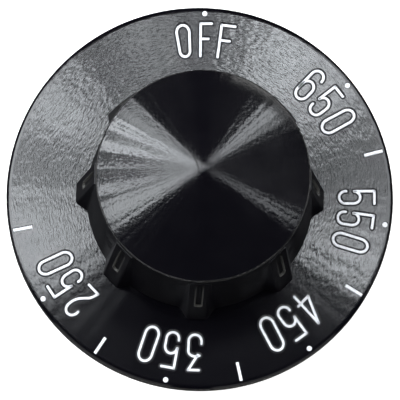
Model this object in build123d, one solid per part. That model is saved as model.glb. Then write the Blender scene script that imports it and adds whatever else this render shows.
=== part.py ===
from build123d import *
from math import cos, hypot, radians, sin, tan
import os

# Skirted dial knob for an oven control, in millimetres.
# The origin is on the stem axis in the plane of the back, +Z points to the tip of the cone,
# and +Y points to the OFF mark at the top of the scale.

# Dial skirt
dial_diameter = 63.5
skirt_thickness = 3.2
face_edge_bevel = 0.4
back_edge_chamfer = 0.4

# Grip hub, measured up from the dial face, and its conical top
hub_height = 21.1
hub_root_diameter = 37.2
hub_rim_diameter = 34.1
rim_fillet = 0.45
cone_slope = 24.3
tip_radius = 2.4

# Finger ribs, which stand on the dial face and fade into the hub wall under the rim
rib_count = 8
rib_reach = 1.75
rib_top_reach = 0.12
rib_fade_drop = 1.2
rib_crest_width = 3.3
rib_root_spread = 1.15
rib_crest_fillet = 0.6
rib_root_fillet = 1.5
rib_root_sink = 0.05

# Shallow flute down the upper part of each rib crest
flute_width = 1.15
flute_depth = 0.4
flute_foot_height = 7.9
flute_rim_gap = 1.6

# Hollow back of the hub
hub_wall = 2.8
roof_thickness = 3.2
core_chamfer = 1.0
boss_diameter = 13.6
boss_recess = 0.8
web_count = 4
web_thickness = 1.8
web_recess = 5.0

# Push-on socket for a D-shaped stem, 1/4 inch round and 3/16 inch across the flat
stem_diameter = 6.35
stem_across_flat = 4.76
socket_clearance = 0.08
socket_depth = 16.0
socket_lead_in = 0.5

# Leaf spring that bears on the flat of the stem
spring_thickness = 0.4
spring_width = 4.4
spring_length = 11.0
spring_lip = 1.6
spring_bow = 0.8
spring_foot = 1.2
spring_preload = 0.05
spring_clearance = 0.1

# Engraved scale: numbered points are drilled dots, the points halfway between them are strokes;
# both keep a gap to the edge of the flat face
off_angle = 90.0
off_to_first_point = 51.0
scale_step = 46.0
scale_points = 5
engraving_depth = 0.3
dot_diameter = 1.05
dot_edge_gap = 0.12
stroke_width = 0.7
stroke_length = 3.4
stroke_edge_gap = 0.2

# Places that follow from the sizes above
dial_radius = dial_diameter / 2
face_radius = dial_radius - face_edge_bevel
face_z = skirt_thickness
rim_z = face_z + hub_height
hub_root_radius = hub_root_diameter / 2
hub_rim_radius = hub_rim_diameter / 2
cone_rise = tan(radians(cone_slope))
boss_radius = boss_diameter / 2
stem_radius = stem_diameter / 2
socket_radius = stem_radius + socket_clearance
flat_y = stem_across_flat - stem_radius + socket_clearance
crest_y = stem_across_flat - stem_radius - spring_preload
pocket_back = crest_y + spring_bow + spring_thickness
pocket_top = boss_recess + spring_length + spring_clearance
rib_top_z = rim_z - rib_fade_drop


def hub_radius(z):
    """Radius of the drafted hub wall at height z."""
    return hub_root_radius - (hub_root_radius - hub_rim_radius) * (z - face_z) / hub_height


def cone_z(radius):
    """Height of the conical top at a radius."""
    return rim_z + (hub_rim_radius - radius) * cone_rise


def corner(face, x, y):
    """The vertex of a flat face that lies nearest to a point."""
    return face.vertices().sort_by_distance((x, y, 0))[0]


def turned_blank():
    """Skirt, plain hub and cone with its rounded tip, as one solid of revolution."""
    slope = radians(cone_slope)
    tip_edge = tip_radius * sin(slope)
    tip_start = (tip_edge, cone_z(tip_edge))
    tip = (0, tip_start[1] + tip_radius * (1 - cos(slope)))
    sides = Polyline(
        tip,
        (0, 0),
        (dial_radius - back_edge_chamfer, 0),
        (dial_radius, back_edge_chamfer),
        (dial_radius, face_z - face_edge_bevel),
        (face_radius, face_z),
        (hub_root_radius, face_z),
        (hub_rim_radius, rim_z),
        tip_start,
    )
    rounded_tip = TangentArc(tip_start, tip, tangent=(-cos(slope), sin(slope)))
    profile = make_face(sides.edges() + rounded_tip.edges())
    profile = fillet(corner(profile, hub_rim_radius, rim_z), rim_fillet)
    return revolve(Plane.XZ * profile, Axis.Z)


def rib_section(z, reach):
    """All ribs at height z, on a circle just inside the hub wall; their blends shrink with their reach."""
    share = reach / rib_reach
    wall = hub_radius(z) - rib_root_sink * share
    half = rib_crest_width / 2
    root_half = half + 2 * rib_root_spread * share
    inner = hub_radius(z) - reach
    crest = hub_radius(z) + reach
    middle = (wall + crest) / 2
    rib = Polyline((inner, -root_half), (crest, -half), (crest, half), (inner, root_half), close=True)
    section = Circle(wall) + PolarLocations(0, rib_count) * make_face(rib.edges())
    crest_corners = [v for v in section.vertices() if hypot(v.X, v.Y) > middle]
    section = fillet(crest_corners, rib_crest_fillet * share)
    root_corners = [v for v in section.vertices() if hypot(v.X, v.Y) < middle]
    section = fillet(root_corners, rib_root_fillet * share)
    return Pos(Z=z) * section.face()


def crest_flute():
    """Round-ended cutter that lies along the crest of the +X rib, from its middle to under the rim."""
    foot = Vector(hub_root_radius + rib_reach, 0, face_z)
    head = Vector(hub_radius(rib_top_z) + rib_top_reach, 0, rib_top_z)
    along = (head - foot).normalized()
    low = foot + along * (flute_foot_height / along.Z)
    length = (head - low).length - flute_rim_gap
    crest = Plane(origin=low, x_dir=along, z_dir=(along.Z, 0, -along.X))
    slot = Pos(X=length / 2) * SlotCenterToCenter(length, flute_width)
    return crest.offset(-flute_depth) * extrude(slot, flute_depth + rib_reach)


def grip():
    """Turned blank with the tapered ribs around its hub and the flutes cut into them."""
    foot = rib_section(face_z, rib_reach)
    head = rib_section(rib_top_z, rib_top_reach)
    ribs = loft([foot, head], ruled=True)
    return turned_blank() + ribs - PolarLocations(0, rib_count) * crest_flute()


def hub_core():
    """Hollow between the shaft boss and the hub wall, open at the back and crossed by the webs."""
    corner_z = rim_z - roof_thickness + hub_wall * cone_rise
    corner_radius = hub_radius(corner_z) - hub_wall
    roof_at_boss = corner_z + (corner_radius - boss_radius) * cone_rise
    outline = Polyline(
        (boss_radius, 0),
        (hub_radius(0) - hub_wall, 0),
        (corner_radius, corner_z),
        (boss_radius, roof_at_boss),
        close=True,
    )
    profile = make_face(outline.edges())
    profile = chamfer(corner(profile, corner_radius, corner_z), core_chamfer)
    ring = revolve(Plane.XZ * profile, Axis.Z)
    web = Box(dial_radius, web_thickness, rim_z, align=(Align.MIN, Align.CENTER, Align.MIN))
    webs = PolarLocations(0, web_count, 180 / web_count) * (Pos(Z=web_recess) * web)
    return ring - webs


def shaft_socket():
    """D-shaped hole for the stem, with a lead-in at its mouth and the recessed end of the boss."""
    upright = (Align.CENTER, Align.CENTER, Align.MIN)
    beyond_flat = Rectangle(stem_diameter * 2, stem_diameter, align=(Align.CENTER, Align.MIN))
    section = Circle(socket_radius) - Pos(Y=flat_y) * beyond_flat
    hole = Pos(Z=boss_recess) * extrude(section, socket_depth)
    mouth = Cone(socket_radius + socket_lead_in, socket_radius, socket_lead_in, align=upright)
    recess = Cylinder(boss_radius, boss_recess, align=upright)
    return hole + Pos(Z=boss_recess) * mouth + recess


def spring_pocket():
    """Slot behind the flat of the socket, with a notch in the boss for the lip of the spring."""
    width = spring_width + 2 * spring_clearance
    low = (Align.CENTER, Align.MIN, Align.MIN)
    slot = Box(width, pocket_back, pocket_top - boss_recess, align=low)
    notch = Box(width, pocket_back + spring_lip + spring_clearance, spring_thickness, align=low)
    return Pos(Z=boss_recess) * (slot + notch)


def scale_marks():
    """Cutters for the drilled dots and the radial strokes of the scale."""
    numbered = [off_angle - off_to_first_point - scale_step * i for i in range(scale_points)]
    dot = Cylinder(dot_diameter / 2, engraving_depth, align=(Align.CENTER, Align.CENTER, Align.MAX))
    stroke = Box(stroke_length, stroke_width, engraving_depth, align=(Align.MAX, Align.CENTER, Align.MAX))
    dot = Pos(X=face_radius - dot_edge_gap - dot_diameter / 2, Z=face_z) * dot
    stroke = Pos(X=face_radius - stroke_edge_gap, Z=face_z) * stroke
    dots = [Rot(Z=angle) * dot for angle in [off_angle] + numbered]
    strokes = [Rot(Z=angle - scale_step / 2) * stroke for angle in numbered]
    return dots + strokes


def knob_body():
    """The one-piece moulding."""
    return grip() - [hub_core(), shaft_socket(), spring_pocket(), *scale_marks()]


def shaft_spring():
    """Bowed leaf, whose ends lie on the back of its pocket and whose lip hooks over the boss."""
    low = boss_recess + spring_thickness
    high = boss_recess + spring_length
    bow_low = low + spring_foot
    bow_high = high - spring_foot
    lip_and_foot = Polyline((pocket_back + spring_lip, low), (pocket_back, low), (pocket_back, bow_low))
    bow_middle = (pocket_back - spring_bow, (bow_low + bow_high) / 2)
    bow = ThreePointArc((pocket_back, bow_low), bow_middle, (pocket_back, bow_high))
    end = Line((pocket_back, bow_high), (pocket_back, high))
    path = Wire(lip_and_foot.edges() + bow.edges() + end.edges())
    strip = offset(path, spring_thickness, side=Side.LEFT)
    return extrude(Plane.YZ * make_face(strip.edges()), spring_width / 2, both=True)


os.makedirs("parts", exist_ok=True)
export_step(knob_body(), "parts/knob_body.step")
export_step(shaft_spring(), "parts/shaft_spring.step")
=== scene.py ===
from math import cos, hypot, pi, radians, sin
from types import SimpleNamespace

import bmesh
import bpy
from mathutils import Matrix, Vector


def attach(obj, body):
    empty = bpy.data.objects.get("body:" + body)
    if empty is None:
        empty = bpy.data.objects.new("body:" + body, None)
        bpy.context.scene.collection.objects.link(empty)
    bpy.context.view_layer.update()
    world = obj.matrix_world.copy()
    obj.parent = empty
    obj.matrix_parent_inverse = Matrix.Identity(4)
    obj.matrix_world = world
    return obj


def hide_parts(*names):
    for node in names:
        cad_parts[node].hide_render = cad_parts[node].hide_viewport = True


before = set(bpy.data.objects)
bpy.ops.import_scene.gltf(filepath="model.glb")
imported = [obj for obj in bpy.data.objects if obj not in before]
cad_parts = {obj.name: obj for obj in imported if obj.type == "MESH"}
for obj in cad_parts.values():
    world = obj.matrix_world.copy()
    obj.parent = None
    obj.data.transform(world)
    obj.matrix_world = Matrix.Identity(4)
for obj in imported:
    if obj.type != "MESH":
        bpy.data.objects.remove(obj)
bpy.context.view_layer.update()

# Sizes of the knob, as in the part; lengths are in millimetres unless a comment says otherwise
MM = 0.001
FACE_Z = 3.2
RIM_Z = 24.3
DIAL_RADIUS = 31.75
RIB_PITCH = radians(45)
FLUTE_FOOT_Z = 11.1
FLUTE_HALF = 0.575

# Strokes of the lettering: x to the right, y outwards from the dial's centre
O_HEIGHT = 5.3
F_HEIGHT = 5.45
FIGURE_HEIGHT = 5.8
ROUND_END_RISE = 1.15


def arc(cx, cy, rx, ry, start, end, steps=14):
    """Points along part of an ellipse, from one angle to another."""
    angles = [radians(start + (end - start) * i / steps) for i in range(steps + 1)]
    return [(cx + rx * cos(a), cy + ry * sin(a)) for a in angles]


def between(p, q, r, s, t):
    """Value at share t of the way from q to r, on a smooth curve through four values."""
    linear = (r - p) * t
    square = (2 * p - 5 * q + 4 * r - s) * t ** 2
    cubic = (3 * q - p - 3 * r + s) * t ** 3
    return (2 * q + linear + square + cubic) / 2


def soft_curve(points, steps=6):
    """Points along a smooth curve through a few given points."""
    ends = [points[0], *points, points[-1]]
    line = []
    for corners in zip(ends, ends[1:], ends[2:], ends[3:]):
        for i in range(steps):
            line.append(tuple(between(*values, i / steps) for values in zip(*corners)))
    return line + [points[-1]]


def oval(top_half, bottom_half, height):
    """Closed outline with straight sides and round ends, which may differ in width."""
    rise = ROUND_END_RISE * top_half
    fall = ROUND_END_RISE * bottom_half
    return arc(0, height - rise, top_half, rise, 0, 180) + arc(0, fall, bottom_half, fall, 180, 360)


# Each character is a list of open strokes and a list of closed ones.

def letter_o():
    return [], [oval(1.06, 0.84, O_HEIGHT)]


def letter_f(top_bar, middle_bar):
    h = F_HEIGHT
    stem = [(0, 0), (0.04, h)]
    top = [(0.04, h), (top_bar, h + 0.02)]
    middle = [(0.02, 0.53 * h), (middle_bar, 0.53 * h)]
    return [stem, top, middle], []


def figure_0():
    return [], [oval(1.08, 1.1, FIGURE_HEIGHT)]


def figure_2():
    h = FIGURE_HEIGHT
    hook = arc(0, h - 1.2, 1.02, 1.2, 192, 0)
    way_down = [(0.95, 0.66 * h), (0.62, 0.5 * h), (0.0, 0.36 * h), (-0.62, 0.22 * h), (-0.98, 0)]
    tail = soft_curve([hook[-1]] + way_down)
    foot = [(-0.98, 0), (1.15, 0.05)]
    return [hook + tail[1:], foot], []


def figure_3():
    h = FIGURE_HEIGHT
    top = [(-0.75, h), (1.0, h)]
    slant = [(1.0, h), (-0.5, 0.57 * h)]
    bowl = arc(-0.1, 0.46 * h, 1.15, 0.155 * h, 125, 0) + arc(0, 1.05, 1.05, 1.05, 0, -180)
    return [top, slant, bowl + [(-1.05, 0.25 * h)]], []


def figure_4():
    h = FIGURE_HEIGHT
    stem = [(0.72, h), (0.52, 0)]
    slant = [(0.7, h), (-1.18, 0.25 * h)]
    bar = [(-1.18, 0.25 * h), (1.14, 0.27 * h)]
    return [stem, slant, bar], []


def figure_5():
    h = FIGURE_HEIGHT
    top = [(-1.0, h), (1.08, h)]
    stem = [(-1.0, h), (-0.98, 0.43 * h)]
    bowl = arc(0.04, 0.4 * h, 1.02, 0.2 * h, 172, 0) + arc(0.04, 1.05, 1.02, 1.05, 0, -180)
    return [top, stem, bowl + [(-0.98, 0.2 * h)]], []


def figure_6():
    h = FIGURE_HEIGHT
    back = [(-1.06, 1.4)] + arc(0, h - 1.15, 1.06, 1.15, 180, 0)
    return [back], [oval(1.06, 1.06, 0.6 * h)]


GLYPHS = {
    "O": letter_o,
    "F": letter_f,
    "0": figure_0,
    "2": figure_2,
    "3": figure_3,
    "4": figure_4,
    "5": figure_5,
    "6": figure_6,
}

# Each label: the angle of its dot, the radius of its base line, and its characters.
# Each character: its name, how far it stands clockwise of the dot in degrees, and an F's bar lengths.
LABELS = [
    (90, 23.55, [("O", -7.3, ()), ("F", -1.3, (1.85, 1.3)), ("F", 5.6, (2.3, 1.65))]),
    (39, 23.15, [("6", -8.5, ()), ("5", -0.15, ()), ("0", 8.4, ())]),
    (-7, 22.85, [("5", -8.6, ()), ("5", -0.4, ()), ("0", 8.45, ())]),
    (-53, 22.6, [("4", -8.85, ()), ("5", -0.2, ()), ("0", 8.1, ())]),
    (-99, 22.8, [("3", -8.6, ()), ("5", 0.1, ()), ("0", 8.5, ())]),
    (-145, 23.2, [("2", -8.25, ()), ("5", 0.4, ()), ("0", 8.35, ())]),
]


def set_on_dial(path, angle, base):
    """A stroke's points on the dial: the character stands on its base radius with its top outwards."""
    a = radians(angle)
    return [((base + y) * cos(a) + x * sin(a), (base + y) * sin(a) - x * cos(a)) for x, y in path]


def lettering():
    """Every stroke of the lettering on the dial, as (points, closed)."""
    strokes = []
    for angle, base, characters in LABELS:
        for name, step, sizes in characters:
            open_paths, closed_paths = GLYPHS[name](*sizes)
            strokes += [(set_on_dial(path, angle - step, base), False) for path in open_paths]
            strokes += [(set_on_dial(path, angle - step, base), True) for path in closed_paths]
    return strokes


# Meshes
SHORTEST_STEP = 0.01
SWEEP_WELD = 0.0001
BODY_WELD = 0.0005
BODY_SHARP_ANGLE = 28
FILL_SHARP_ANGLE = 40


def vertex(bm, x, y, z):
    """A new vertex at a place in millimetres."""
    return bm.verts.new((x * MM, y * MM, z * MM))


def distance(p, q):
    return hypot(p[0] - q[0], p[1] - q[1])


def without_repeats(points, closed):
    """The points of a stroke that lie apart, so that each step has a direction."""
    kept = [points[0]]
    for point in points[1:]:
        if distance(point, kept[-1]) > SHORTEST_STEP:
            kept.append(point)
    if closed and distance(kept[0], kept[-1]) < SHORTEST_STEP:
        kept.pop()
    return kept


def left_normals(points, closed):
    """Unit normals to the left of a stroke at each of its points."""
    n = len(points)
    normals = []
    for i in range(n):
        before = points[i - 1] if closed or i > 0 else points[i]
        after = points[(i + 1) % n] if closed or i < n - 1 else points[i]
        step = Vector((after[0] - before[0], after[1] - before[1])).normalized()
        normals.append(Vector((-step.y, step.x)))
    return normals


def sweep(bm, points, closed, section, cap_steps=8):
    """Sweeps a symmetric section, as (half width, height) from its foot up, along a round-ended stroke."""
    points = without_repeats(points, closed)
    normals = left_normals(points, closed)
    left = list(zip(points, normals))
    right = [(p, -n) for p, n in reversed(left)]
    if closed:
        loops = [left, right]
    else:
        turns = [Matrix.Rotation(-pi * i / cap_steps, 2) for i in range(1, cap_steps)]
        end = [(points[-1], turn @ normals[-1]) for turn in turns]
        start = [(points[0], turn @ -normals[0]) for turn in turns]
        loops = [left + end + right + start]
    made = []
    for loop in loops:
        rows = [[vertex(bm, p[0] + n.x * w, p[1] + n.y * w, z) for w, z in section] for p, n in loop]
        made += [v for row in rows for v in row]
        for one, two in zip(rows, rows[1:] + rows[:1]):
            for i in range(len(section) - 1):
                bm.faces.new((one[i], two[i], two[i + 1], one[i + 1]))
    bmesh.ops.remove_doubles(bm, verts=made, dist=SWEEP_WELD * MM)


def new_piece(name, bm):
    """An object in the scene from a finished bmesh."""
    bmesh.ops.recalc_face_normals(bm, faces=bm.faces)
    mesh = bpy.data.meshes.new(name)
    bm.to_mesh(mesh)
    bm.free()
    piece = bpy.data.objects.new(name, mesh)
    bpy.context.scene.collection.objects.link(piece)
    return piece


def swept_strokes(name, strokes, section):
    """One object with a section swept along many strokes."""
    bm = bmesh.new()
    for points, closed in strokes:
        sweep(bm, points, closed, section)
    return new_piece(name, bm)


def shade_by_angle(mesh, limit):
    """Smooth faces with sharp edges where two faces meet at more than the limit, in degrees."""
    mesh.polygons.foreach_set("use_smooth", [True] * len(mesh.polygons))
    bm = bmesh.new()
    bm.from_mesh(mesh)
    for edge in bm.edges:
        edge.smooth = len(edge.link_faces) == 2 and edge.calc_face_angle() < radians(limit)
    bm.to_mesh(mesh)
    bm.free()


# Grooves of the lettering, with sloping walls, and a crowned fill that stops short of their edges
GROOVE_DEPTH = 0.25
GROOVE_FLOOR_HALF = 0.26
GROOVE_MOUTH_HALF = 0.5
OVERCUT = 0.1
FILL_HALF = 0.215
FILL_DROP = 0.06
FILL_EDGE_DROP = 0.12
FILL_SHOULDER_DROP = 0.08
SHOULDER_SHARE = 0.86
CROWN_SHARE = 0.5


def groove_section():
    """Half of the groove's cutter, which reaches a little above the dial face."""
    slope = (GROOVE_MOUTH_HALF - GROOVE_FLOOR_HALF) / GROOVE_DEPTH
    return [
        (0, FACE_Z - GROOVE_DEPTH),
        (GROOVE_FLOOR_HALF, FACE_Z - GROOVE_DEPTH),
        (GROOVE_MOUTH_HALF + slope * OVERCUT, FACE_Z + OVERCUT),
        (0, FACE_Z + OVERCUT),
    ]


def fill_section():
    """Half of the paint in a groove."""
    return [
        (0, FACE_Z - GROOVE_DEPTH),
        (FILL_HALF, FACE_Z - GROOVE_DEPTH),
        (FILL_HALF, FACE_Z - FILL_EDGE_DROP),
        (SHOULDER_SHARE * FILL_HALF, FACE_Z - FILL_SHOULDER_DROP),
        (CROWN_SHARE * FILL_HALF, FACE_Z - FILL_DROP),
        (0, FACE_Z - FILL_DROP),
    ]


def engraved_body():
    """The moulding with the grooves of the lettering cut into its dial face."""
    bm = bmesh.new()
    bm.from_mesh(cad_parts["knob_body"].data)
    bmesh.ops.remove_doubles(bm, verts=bm.verts, dist=BODY_WELD * MM)
    body = new_piece("engraved_knob_body", bm)
    cutter = swept_strokes("lettering_cutter", lettering(), groove_section())
    cut = body.modifiers.new("engraving", "BOOLEAN")
    cut.operation = "DIFFERENCE"
    cut.solver = "EXACT"
    cut.use_self = True
    cut.object = cutter
    bpy.context.view_layer.update()
    graph = bpy.context.evaluated_depsgraph_get()
    mesh = bpy.data.meshes.new_from_object(body.evaluated_get(graph))
    body.modifiers.clear()
    body.data = mesh
    bpy.data.objects.remove(cutter)
    shade_by_angle(mesh, BODY_SHARP_ANGLE)
    return body


body = engraved_body()
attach(body, "root")
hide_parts("knob_body")

fill = swept_strokes("lettering_fill", lettering(), fill_section())
shade_by_angle(fill.data, FILL_SHARP_ANGLE)
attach(fill, "root")

# Paint in the drilled dots, and in the radial strokes half a step of the scale past each number
DOT_RADIUS = 30.7
DOT_HALF = 0.43
DOT_CORNERS = 28
DIMPLE_SHARE = 0.22
DIMPLE_DROP = 0.1
TICK_TURN = 23
TICK_INNER = 27.95
TICK_OUTER = 31.05
TICK_HALF = 0.25
TICK_SHOULDER_SHARE = 0.8
MARK_DEPTH = 0.3
MARK_EDGE_DROP = 0.08
MARK_DROP = 0.03


def dot_fill(bm, angle):
    """A low round drop of paint with a dimple in its middle."""
    cx = DOT_RADIUS * cos(radians(angle))
    cy = DOT_RADIUS * sin(radians(angle))
    steps = [
        (DOT_HALF, MARK_DEPTH),
        (DOT_HALF, MARK_EDGE_DROP),
        (SHOULDER_SHARE * DOT_HALF, MARK_DROP),
        (CROWN_SHARE * DOT_HALF, MARK_DROP),
        (DIMPLE_SHARE * DOT_HALF, DIMPLE_DROP),
    ]
    turns = [2 * pi * i / DOT_CORNERS for i in range(DOT_CORNERS)]
    rings = []
    for r, drop in steps:
        rings.append([vertex(bm, cx + r * cos(a), cy + r * sin(a), FACE_Z - drop) for a in turns])
    for low, high in zip(rings, rings[1:]):
        for i in range(DOT_CORNERS):
            j = (i + 1) % DOT_CORNERS
            bm.faces.new((low[i], low[j], high[j], high[i]))
    bm.faces.new(rings[-1])
    bm.faces.new(list(reversed(rings[0])))


def tick_fill(bm, angle):
    """A square-ended bar of paint along a radius."""
    a = radians(angle)
    shoulder = TICK_SHOULDER_SHARE * TICK_HALF
    half = [(TICK_HALF, MARK_DEPTH), (TICK_HALF, MARK_EDGE_DROP), (shoulder, MARK_DROP)]
    across = [(-x, drop) for x, drop in half] + list(reversed(half))
    inner, outer = [
        [vertex(bm, r * cos(a) + x * sin(a), r * sin(a) - x * cos(a), FACE_Z - drop) for x, drop in across]
        for r in (TICK_INNER, TICK_OUTER)
    ]
    for i in range(len(across)):
        j = (i + 1) % len(across)
        bm.faces.new((inner[i], inner[j], outer[j], outer[i]))
    bm.faces.new(inner)
    bm.faces.new(list(reversed(outer)))


def mark_fill():
    """The paint of all dots and strokes."""
    bm = bmesh.new()
    for angle, _, _ in LABELS:
        dot_fill(bm, angle)
    for angle, _, _ in LABELS[1:]:
        tick_fill(bm, angle - TICK_TURN)
    return new_piece("scale_mark_fill", bm)


marks = mark_fill()
shade_by_angle(marks.data, FILL_SHARP_ANGLE)
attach(marks, "root")


# Materials

class Recipe:
    """A material in the making, with short names for its nodes; values are sockets or numbers."""

    def __init__(self, name):
        self.material = bpy.data.materials.new(name)
        self.material.use_nodes = True
        self.nodes = self.material.node_tree.nodes
        self.link = self.material.node_tree.links.new
        self.shader = self.nodes["Principled BSDF"]

    def node(self, kind, **values):
        """A node with its settings and socket values."""
        made = self.nodes.new(kind)
        for key, value in values.items():
            if key in made.inputs:
                made.inputs[key].default_value = value
            else:
                setattr(made, key, value)
        return made

    def put(self, name, value):
        """Links or sets one input of the shader."""
        if isinstance(value, bpy.types.NodeSocket):
            self.link(value, self.shader.inputs[name])
        else:
            self.shader.inputs[name].default_value = value

    def calc(self, operation, a, b=None):
        made = self.node("ShaderNodeMath", operation=operation)
        for socket, value in zip(made.inputs, (a, b)):
            if isinstance(value, (int, float)):
                socket.default_value = value
            elif value is not None:
                self.link(value, socket)
        return made.outputs[0]

    def plus(self, a, b):
        return self.calc("ADD", a, b)

    def minus(self, a, b):
        return self.calc("SUBTRACT", a, b)

    def times(self, a, b):
        return self.calc("MULTIPLY", a, b)

    def larger(self, a, b):
        return self.calc("MAXIMUM", a, b)

    def length(self, a, b):
        """Length of the long side of a right triangle."""
        return self.calc("SQRT", self.plus(self.times(a, a), self.times(b, b)))

    def mix(self, share, start, end):
        """A number that goes from one value to another as a socket goes from 0 to 1."""
        return self.plus(start, self.times(share, end - start))

    def ramp(self, value, low, high, start=0.0, end=1.0):
        """A number that goes from start to end as a socket goes from low to high, and stays there."""
        limits = {"From Min": low, "From Max": high, "To Min": start, "To Max": end}
        made = self.node("ShaderNodeMapRange", **limits)
        self.link(value, made.inputs["Value"])
        return made.outputs[0]

    def step_up(self, value, low, high):
        """A ramp from 0 to 1 as a length in metres goes from one place in millimetres to another."""
        return self.ramp(value, low * MM, high * MM)

    def place(self):
        """The point's place on its piece, in metres."""
        return self.node("ShaderNodeTexCoord").outputs["Object"]

    def vector(self, *parts):
        made = self.node("ShaderNodeCombineXYZ")
        for part, socket in zip(parts, made.inputs):
            self.link(part, socket)
        return made.outputs[0]

    def noise(self, where, scale, detail):
        made = self.node("ShaderNodeTexNoise", Scale=scale, Detail=detail)
        self.link(where, made.inputs["Vector"])
        return made.outputs["Fac"]

    def tones(self, share, dark, light, start=0.0, end=1.0):
        """A colour from dark to light as a socket goes from start to end."""
        made = self.node("ShaderNodeValToRGB")
        for element, position, colour in zip(made.color_ramp.elements, (start, end), (dark, light)):
            element.position = position
            element.color = (*colour, 1)
        self.link(share, made.inputs["Fac"])
        return made.outputs[0]

    def blend(self, share, colour, other):
        """A colour that goes over to another; a mix node's colour sockets are found by their number."""
        made = self.node("ShaderNodeMix", data_type="RGBA")
        self.link(share, made.inputs[0])
        self.link(colour, made.inputs[6])
        made.inputs[7].default_value = (*other, 1)
        return made.outputs[2]

    def bump(self, height, strength, reach):
        """The normal of a relief, whose height is multiplied by a reach in metres."""
        made = self.node("ShaderNodeBump", Strength=strength, Distance=reach)
        self.link(height, made.inputs["Height"])
        return made.outputs[0]


# Where the wall of the hub begins and ends in the shading, and which faces count as wall or bevel,
# by their place and by the upward part of their normal
WALL_FADE_IN = (FACE_Z + 0.1, FACE_Z + 0.5)
WALL_FOOT_Z = FACE_Z + 0.05
WALL_HEAD_Z = RIM_Z - 0.4
WALL_NORMAL_Z = 0.6
BEVEL_RADIUS = 31.4
BEVEL_NORMAL_Z = (0.3, 0.95)

# Least radius that a bearing is worked out with
LEAST_RADIUS = 0.01

# Relief of the moulding: cells of the tool marks in each metre of radius and in each radian, of the
# peel in each metre and of the streaks in each radian. Heights are in metres, and the rise of the
# streaks is a share of the radius.
MARKS_ALONG = 4000.0
MARKS_ROUND = 26.0
MARKS_DETAIL = 1.0
MARKS_HEIGHT = 0.000019
TOP_MARKS_HEIGHT = 0.00002
PEEL_SCALE = 750.0
PEEL_DETAIL = 1.5
PEEL_HEIGHT = 0.000014
TOP_PEEL_HEIGHT = 0.000018
STREAK_SCALE = 8.0
STREAK_DETAIL = 1.0
FACE_STREAK_RISE = 0.0008
TOP_STREAK_RISE = 0.005

# The fine relief of the face calms down to a share towards the dial's foot, by the sine of the bearing
CALM_BELOW = -0.75
CALM_ABOVE = -0.1
CALM = 0.15

# The face rolls off towards its bevel; the drop is in metres
EDGE_ROLL_START = 30.9
EDGE_ROLL_END = 31.4
EDGE_ROLL_DROP = 0.00006

# A fine arc beside the tip of the cone; its depth is in metres
LINE_CENTRE = (-6.13, -1.03)
LINE_RADIUS = 5.27
LINE_HALF = 0.1
LINE_WEST = -2.0
LINE_FOOT = -1.0
LINE_FADE = 0.2
LINE_DEPTH = 0.00006

# Paler places: a painted highlight along the lip of each flute, wear with a painted highlight on the rim,
# wear with a painted reflection of the floor on the side of the skirt, and how strong each is there
LIP_FADE_IN = (0.16, 0.04)
LIP_HEAD_Z = 20.5
LIP_HEAD_FADE = 0.3
# Strength of the painted highlight on the flute lips, at their head and at their foot
FLUTE_HEAD_GLINT = 0.05
FLUTE_FOOT_GLINT = 0.12
# The rim's pale line is wear together with a painted highlight along its rounded edge
RIM_FADE_IN = (RIM_Z - 0.45, RIM_Z - 0.3)
RIM_FADE_OUT = (RIM_Z + 0.1, RIM_Z - 0.1)
RIM_WEAR_AND_GLINT = 0.035
# The pale strip on the skirt's side is wear together with a painted reflection of the floor, which glossy
# surfaces don't mirror
SIDE_FADE_IN = (DIAL_RADIUS - 0.1, DIAL_RADIUS - 0.02)
SIDE_WEAR_AND_REFLECTION = 0.07

# Finish of the moulding
CLOUD_SCALE = 220.0
CLOUD_DETAIL = 4.0
CLOUD_RANGE = (0.3, 0.7)
FACE_ROUGHNESS = (0.115, 0.135)
TOP_ROUGHENING = 1.5
WALL_ROUGHNESS = 0.55
WEAR_AND_PAINTED_LIGHT_ROUGHNESS = 0.6
DEEP_BLACK = (0.0012, 0.0011, 0.0021)
SOFT_BLACK = (0.0022, 0.0020, 0.0033)
# Pale colour of the wear, the painted highlights and the painted reflection
WEAR_AND_PAINTED_LIGHT_COLOUR = (0.5, 0.5, 0.46)
GRAIN = 0.75
POLISHED_IOR = 1.62
DULL_IOR = 1.2


def knob_place(m):
    """Where a point lies on the knob, with how far it belongs to the conical top and to the hub's wall."""
    place = m.place()
    parts = m.node("ShaderNodeSeparateXYZ")
    m.link(place, parts.inputs[0])
    x, y, z = parts.outputs
    radius = m.length(x, y)
    reach = m.larger(radius, LEAST_RADIUS * MM)
    top = m.step_up(z, WALL_HEAD_Z, RIM_Z)
    return SimpleNamespace(
        place=place,
        x=x,
        y=y,
        z=z,
        radius=radius,
        east=m.calc("DIVIDE", x, reach),
        north=m.calc("DIVIDE", y, reach),
        top=top,
        wall=m.minus(m.step_up(z, *WALL_FADE_IN), top),
    )


def fine_relief(m, at):
    """Tool marks, longer round the axis than along the radius, and an orange-peel ripple."""
    along = m.times(at.radius, MARKS_ALONG)
    marks_place = m.vector(along, m.times(at.east, MARKS_ROUND), m.times(at.north, MARKS_ROUND))
    tool_marks = m.noise(marks_place, 1.0, MARKS_DETAIL)
    peel = m.noise(at.place, PEEL_SCALE, PEEL_DETAIL)
    cuts = m.times(tool_marks, m.mix(at.top, MARKS_HEIGHT, TOP_MARKS_HEIGHT))
    ripple = m.times(peel, m.mix(at.top, PEEL_HEIGHT, TOP_PEEL_HEIGHT))
    lively = m.mix(m.ramp(at.north, CALM_BELOW, CALM_ABOVE), CALM, 1.0)
    return m.times(m.plus(cuts, ripple), m.larger(lively, at.top))


def soft_streaks(m, at):
    """Streaks that run out from the axis and rise with the radius, mostly on the conical top."""
    streaks = m.noise(m.vector(at.east, at.north), STREAK_SCALE, STREAK_DETAIL)
    return m.times(streaks, m.times(at.radius, m.mix(at.top, FACE_STREAK_RISE, TOP_STREAK_RISE)))


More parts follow.
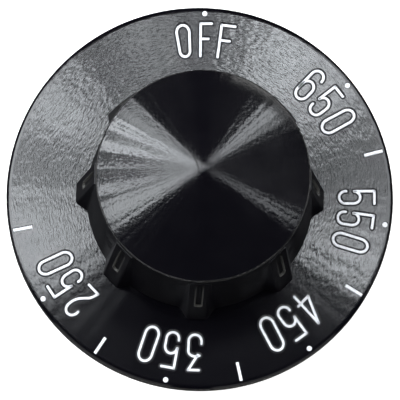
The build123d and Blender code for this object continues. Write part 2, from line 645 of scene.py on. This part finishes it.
def tip_line(m, at):
    """How far a point belongs to the fine arc beside the tip."""
    from_centre = m.length(m.minus(at.x, LINE_CENTRE[0] * MM), m.minus(at.y, LINE_CENTRE[1] * MM))
    off_line = m.calc("ABSOLUTE", m.minus(from_centre, LINE_RADIUS * MM))
    line = m.step_up(off_line, LINE_HALF, 0.0)
    line = m.times(line, m.step_up(at.x, LINE_WEST - LINE_FADE, LINE_WEST))
    line = m.times(line, m.step_up(at.y, LINE_FOOT - LINE_FADE, LINE_FOOT))
    return m.times(line, at.top)


def moulded_relief(m, at):
    """Height of the whole relief in metres; the wall of the hub has none."""
    height = m.plus(soft_streaks(m, at), fine_relief(m, at))
    height = m.times(height, m.minus(1.0, at.wall))
    roll = m.calc("POWER", m.step_up(at.radius, EDGE_ROLL_START, EDGE_ROLL_END), 2.0)
    height = m.minus(height, m.times(roll, EDGE_ROLL_DROP))
    return m.minus(height, m.times(tip_line(m, at), LINE_DEPTH))


def painted_flute_glint(m, at):
    """Painted highlight along the lip of each rib's flute, stronger at its foot."""
    turn = m.plus(m.calc("ARCTAN2", at.y, at.x), RIB_PITCH / 2)
    off_rib = m.minus(m.calc("FLOORED_MODULO", turn, RIB_PITCH), RIB_PITCH / 2)
    beside = m.times(at.radius, m.calc("SINE", off_rib))
    below = m.calc("MINIMUM", m.minus(at.z, FLUTE_FOOT_Z * MM), 0.0)
    off_lip = m.calc("ABSOLUTE", m.minus(m.length(beside, below), FLUTE_HALF * MM))
    under_head = m.step_up(at.z, LIP_HEAD_Z + LIP_HEAD_FADE, LIP_HEAD_Z)
    lip = m.times(m.step_up(off_lip, *LIP_FADE_IN), under_head)
    strength = m.mix(m.step_up(at.z, LIP_HEAD_Z, FLUTE_FOOT_Z), FLUTE_HEAD_GLINT, FLUTE_FOOT_GLINT)
    return m.times(lip, m.times(at.wall, strength))


def wear_and_painted_light(m, at):
    """Share of paler surface: wear, painted highlights on the flute lips and the rim, and a painted
    reflection on the side of the skirt.
    """
    rim = m.times(m.step_up(at.z, *RIM_FADE_IN), m.step_up(at.z, *RIM_FADE_OUT))
    side = m.times(m.step_up(at.radius, *SIDE_FADE_IN), SIDE_WEAR_AND_REFLECTION)
    return m.larger(m.larger(painted_flute_glint(m, at), m.times(rim, RIM_WEAR_AND_GLINT)), side)


def black_phenolic(name, ior):
    """Turned and polished black moulding: grain round the axis, a soft ripple, fine wear, and painted
    highlights and a painted reflection in a pale colour.
    """
    m = Recipe(name)
    at = knob_place(m)
    # Pale places are wear with painted highlights on the flute lips and rim and a painted reflection on the
    # skirt's side
    wear_and_painted_light_share = wear_and_painted_light(m, at)
    cloud = m.noise(at.place, CLOUD_SCALE, CLOUD_DETAIL)
    turned = m.times(m.ramp(cloud, *CLOUD_RANGE, *FACE_ROUGHNESS), m.mix(at.top, 1.0, TOP_ROUGHENING))
    matt = m.larger(m.times(at.wall, WALL_ROUGHNESS), m.times(wear_and_painted_light_share, WEAR_AND_PAINTED_LIGHT_ROUGHNESS))
    m.put("Base Color", m.blend(wear_and_painted_light_share, m.tones(cloud, DEEP_BLACK, SOFT_BLACK), WEAR_AND_PAINTED_LIGHT_COLOUR))
    m.put("Roughness", m.larger(turned, matt))
    m.put("Normal", m.bump(moulded_relief(m, at), 1.0, 1.0))
    m.put("IOR", ior)
    m.put("Anisotropic", GRAIN)
    m.put("Tangent", m.vector(at.x, at.y))
    return m.material


# Engraving paint and spring strip; each relief has a strength and a reach in metres
PAINT_SCALE = 1600.0
PAINT_DETAIL = 4.0
PAINT_RANGE = (0.25, 0.6)
PAINT_SHADE = (0.60, 0.61, 0.65)
PAINT_WHITE = (0.80, 0.82, 0.85)
PAINT_ROUGHNESS = 0.6
PAINT_RELIEF = (0.4, 0.00003)
STEEL_STRETCH = (9000.0, 700.0, 300.0)
STEEL_DETAIL = 5.0
STEEL_DARK = (0.42, 0.41, 0.39)
STEEL_LIGHT = (0.70, 0.69, 0.66)
STEEL_ROUGHNESS = (0.24, 0.42)
STEEL_RELIEF = (0.2, 0.00002)


def white_fill():
    """Engraving paint: matt white, a little uneven."""
    m = Recipe("white_fill")
    cloud = m.noise(m.place(), PAINT_SCALE, PAINT_DETAIL)
    m.put("Base Color", m.tones(cloud, PAINT_SHADE, PAINT_WHITE, *PAINT_RANGE))
    m.put("Roughness", PAINT_ROUGHNESS)
    m.put("Normal", m.bump(cloud, *PAINT_RELIEF))
    return m.material


def spring_steel():
    """Rolled strip: grain along its length, faint tarnish."""
    m = Recipe("spring_steel")
    stretch = m.node("ShaderNodeMapping", Scale=STEEL_STRETCH)
    m.link(m.place(), stretch.inputs["Vector"])
    grain = m.noise(stretch.outputs[0], 1.0, STEEL_DETAIL)
    m.put("Base Color", m.tones(grain, STEEL_DARK, STEEL_LIGHT))
    m.put("Roughness", m.ramp(grain, 0.0, 1.0, *STEEL_ROUGHNESS))
    m.put("Normal", m.bump(grain, *STEEL_RELIEF))
    m.put("Metallic", 1.0)
    return m.material


def paint_over(piece, *materials):
    piece.data.materials.clear()
    for material in materials:
        piece.data.materials.append(material)


def is_dull(face):
    """Whether a face of the moulding belongs to the hub's wall or to the bevel of the skirt."""
    z = face.center.z / MM
    radius = face.center.xy.length / MM
    on_wall = WALL_FOOT_Z < z < WALL_HEAD_Z and abs(face.normal.z) < WALL_NORMAL_Z
    on_bevel = radius > BEVEL_RADIUS and BEVEL_NORMAL_Z[0] < face.normal.z < BEVEL_NORMAL_Z[1]
    return on_wall or on_bevel


polished = black_phenolic("black_phenolic", POLISHED_IOR)
dull = black_phenolic("black_phenolic_wall", DULL_IOR)
white = white_fill()
paint_over(body, polished, dull)
for face in body.data.polygons:
    face.material_index = int(is_dull(face))
paint_over(fill, white)
paint_over(marks, white)
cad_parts["shaft_spring"].material_slots[0].material = spring_steel()
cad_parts["knob_body"].material_slots[0].material = polished

# Camera, as in the photograph: high above the dial, a little towards its foot
CAMERA_TILT = radians(9.29)
CAMERA_TURN = radians(-7.1)
CAMERA_ROLL = radians(-1.5)
CAMERA_DISTANCE = 600.0
AIM_DROP = 0.54
VIEW_WIDTH = 65.61
SENSOR_WIDTH = 36.0

face_centre = Vector((0, 0, FACE_Z * MM))
side_tilt = sin(CAMERA_TILT)
to_camera = Vector((side_tilt * sin(CAMERA_TURN), -side_tilt * cos(CAMERA_TURN), cos(CAMERA_TILT)))
right = Vector((0, 1, 0)).cross(to_camera).normalized()
up = to_camera.cross(right)
camera_x = right * cos(CAMERA_ROLL) - up * sin(CAMERA_ROLL)
camera_y = right * sin(CAMERA_ROLL) + up * cos(CAMERA_ROLL)


def framed(origin, x_axis, y_axis, z_axis):
    """Matrix of an object at a place, with given axes."""
    return Matrix.Translation(origin) @ Matrix((x_axis, y_axis, z_axis)).transposed().to_4x4()


def photo_camera():
    """The camera of the photograph, whose view has its width at the dial face."""
    data = bpy.data.cameras.new("photo_camera")
    data.sensor_width = SENSOR_WIDTH
    data.lens = SENSOR_WIDTH * CAMERA_DISTANCE / VIEW_WIDTH
    camera = bpy.data.objects.new("photo_camera", data)
    aim = face_centre - camera_y * AIM_DROP * MM
    camera.matrix_world = framed(aim + to_camera * CAMERA_DISTANCE * MM, camera_x, camera_y, to_camera)
    bpy.context.scene.collection.objects.link(camera)
    return camera


bpy.context.scene.camera = photo_camera()

# Studio, in metres; glossy surfaces don't mirror the floor
FLOOR_HALF = 1.5
FLOOR_CELLS = 4
FLOOR_GAP = 0.00002
FLOOR_COLOUR = (0.85, 0.85, 0.84, 1)
FLOOR_ROUGHNESS = 0.9
FLOOR_GLOW = 0.7
WHITE = (1, 1, 1, 1)
LAMP_REACH = 0.27
LAMP_COLOUR = (0.92, 0.96, 1.0)
ROOM_COLOUR = (0.5, 0.5, 0.5, 1)
ROOM_LIGHT = 0.01


def pale_floor():
    m = Recipe("pale_floor")
    m.put("Base Color", FLOOR_COLOUR)
    m.put("Roughness", FLOOR_ROUGHNESS)
    m.put("Emission Color", WHITE)
    m.put("Emission Strength", FLOOR_GLOW)
    return m.material


floor_mesh = bmesh.new()
bmesh.ops.create_grid(floor_mesh, x_segments=FLOOR_CELLS, y_segments=FLOOR_CELLS, size=FLOOR_HALF)
floor = new_piece("floor", floor_mesh)
floor.location.z = -FLOOR_GAP
floor.visible_glossy = False
paint_over(floor, pale_floor())


def panel_energy(radiance, width, height):
    """Energy in watts of a panel that glows with a radiance."""
    return radiance * pi * width * height


def area_lamp(name, width, height, energy, where):
    """A soft rectangular lamp, which shines along its own -Z."""
    lamp = bpy.data.lights.new(name, "AREA")
    lamp.shape = "RECTANGLE"
    lamp.size = width
    lamp.size_y = height
    lamp.energy = energy
    item = bpy.data.objects.new(name, lamp)
    item.matrix_world = where
    bpy.context.scene.collection.objects.link(item)
    return item


def lit_from(theta, tilt):
    """Direction to a lamp whose gleam falls at angle theta of the dial, on a face that tilts by so much."""
    t = radians(tilt)
    a = radians(theta)
    normal = Vector((sin(t) * cos(a), sin(t) * sin(a), cos(t)))
    return (2 * normal * normal.dot(to_camera) - to_camera).normalized()


def softbox(name, theta, tilt, radiance):
    """A soft panel that fills a range of gleam angles and face tilts."""
    middle_theta = sum(theta) / 2
    middle_tilt = sum(tilt) / 2
    middle = lit_from(middle_theta, middle_tilt) * LAMP_REACH
    side = (lit_from(theta[1], middle_tilt) - lit_from(theta[0], middle_tilt)) * LAMP_REACH
    rise = (lit_from(middle_theta, tilt[1]) - lit_from(middle_theta, tilt[0])) * LAMP_REACH
    z_axis = middle.normalized()
    x_axis = (side - z_axis * side.dot(z_axis)).normalized()
    where = framed(face_centre + middle, x_axis, z_axis.cross(x_axis), z_axis)
    energy = panel_energy(radiance, side.length, rise.length)
    area_lamp(name, side.length, rise.length, energy, where).data.color = LAMP_COLOUR


# A low ring of panels lights the flat face: each has a range of gleam angles and a radiance.
RING_TILT = (2.7, 6.4)
RING = [
    ((-31, -25), 4.5),
    ((-25, -15), 12.5),
    ((-15, 5), 4.0),
    ((5, 25), 1.5),
    ((25, 35), 6.5),
    ((35, 55), 10.5),
    ((55, 65), 13.0),
    ((65, 75), 10.0),
    ((75, 85), 3.5),
    ((85, 95), 1.5),
    ((95, 105), 4.5),
    ((105, 120), 6.5),
    ((120, 126), 3.5),
    ((126, 135), 1.0),
    ((135, 142), 6.5),
    ((142, 158), 11.0),
    ((158, 164), 5.5),
    ((164, 174), 1.0),
    ((174, 180), 4.5),
    ((180, 196), 9.0),
    ((196, 213), 9.0),
]
for theta, radiance in RING:
    softbox("ring_%d" % theta[0], theta, RING_TILT, radiance)

# Higher panels at the left and the right light the cone, and the last two its rounded tip.
# Each has a range of gleam angles, a range of face tilts and a radiance.
PANELS = [
    ((137, 146), (16, 26.5), 6.5),
    ((149, 156), (16, 29), 11.5),
    ((161, 168), (16, 29), 11.0),
    ((175, 180), (16, 29), 9.5),
    ((187, 192), (16, 29), 9.5),
    ((197, 212), (16, 28), 7.0),
    ((212, 215), (16, 26), 2.5),
    ((34, 40), (17, 25.5), 2.5),
    ((40, 52), (17, 27.5), 5.5),
    ((-27, -21), (17, 24.5), 4.5),
    ((138, 211), (6, 16), 6.0),
    ((-27, 54), (6, 16), 3.5),
]
for theta, tilt, radiance in PANELS:
    softbox("panel_%d_%d" % (theta[0], tilt[0]), theta, tilt, radiance)

# Low panels all round, which show the gloss and the ribs from the side
SIDE_COUNT = 6
SIDE_DISTANCE = 0.5
SIDE_HEIGHT = 0.065
SIDE_SIZE = (0.42, 0.12)
SIDE_RADIANCE = 2.2
for i in range(SIDE_COUNT):
    a = 2 * pi * i / SIDE_COUNT
    spot = Vector((SIDE_DISTANCE * cos(a), SIDE_DISTANCE * sin(a), SIDE_HEIGHT))
    where = Matrix.Translation(spot) @ spot.to_track_quat("Z", "Y").to_matrix().to_4x4()
    energy = panel_energy(SIDE_RADIANCE, *SIDE_SIZE)
    area_lamp("side_%d" % i, *SIDE_SIZE, energy, where).visible_camera = False

# An overhead fill for matt surfaces, which glossy ones don't mirror; its energy is in watts
OVERHEAD_HEIGHT = 0.8
OVERHEAD_SIZE = 0.8
OVERHEAD_ENERGY = 6.0
where = Matrix.Translation((0, 0, OVERHEAD_HEIGHT))
overhead = area_lamp("overhead_fill", OVERHEAD_SIZE, OVERHEAD_SIZE, OVERHEAD_ENERGY, where)
overhead.visible_glossy = False

world = bpy.data.worlds.new("dim_room")
world.use_nodes = True
room = world.node_tree.nodes["Background"]
room.inputs["Color"].default_value = ROOM_COLOUR
room.inputs["Strength"].default_value = ROOM_LIGHT
bpy.context.scene.world = world
bpy.context.scene.view_settings.view_transform = "Standard"
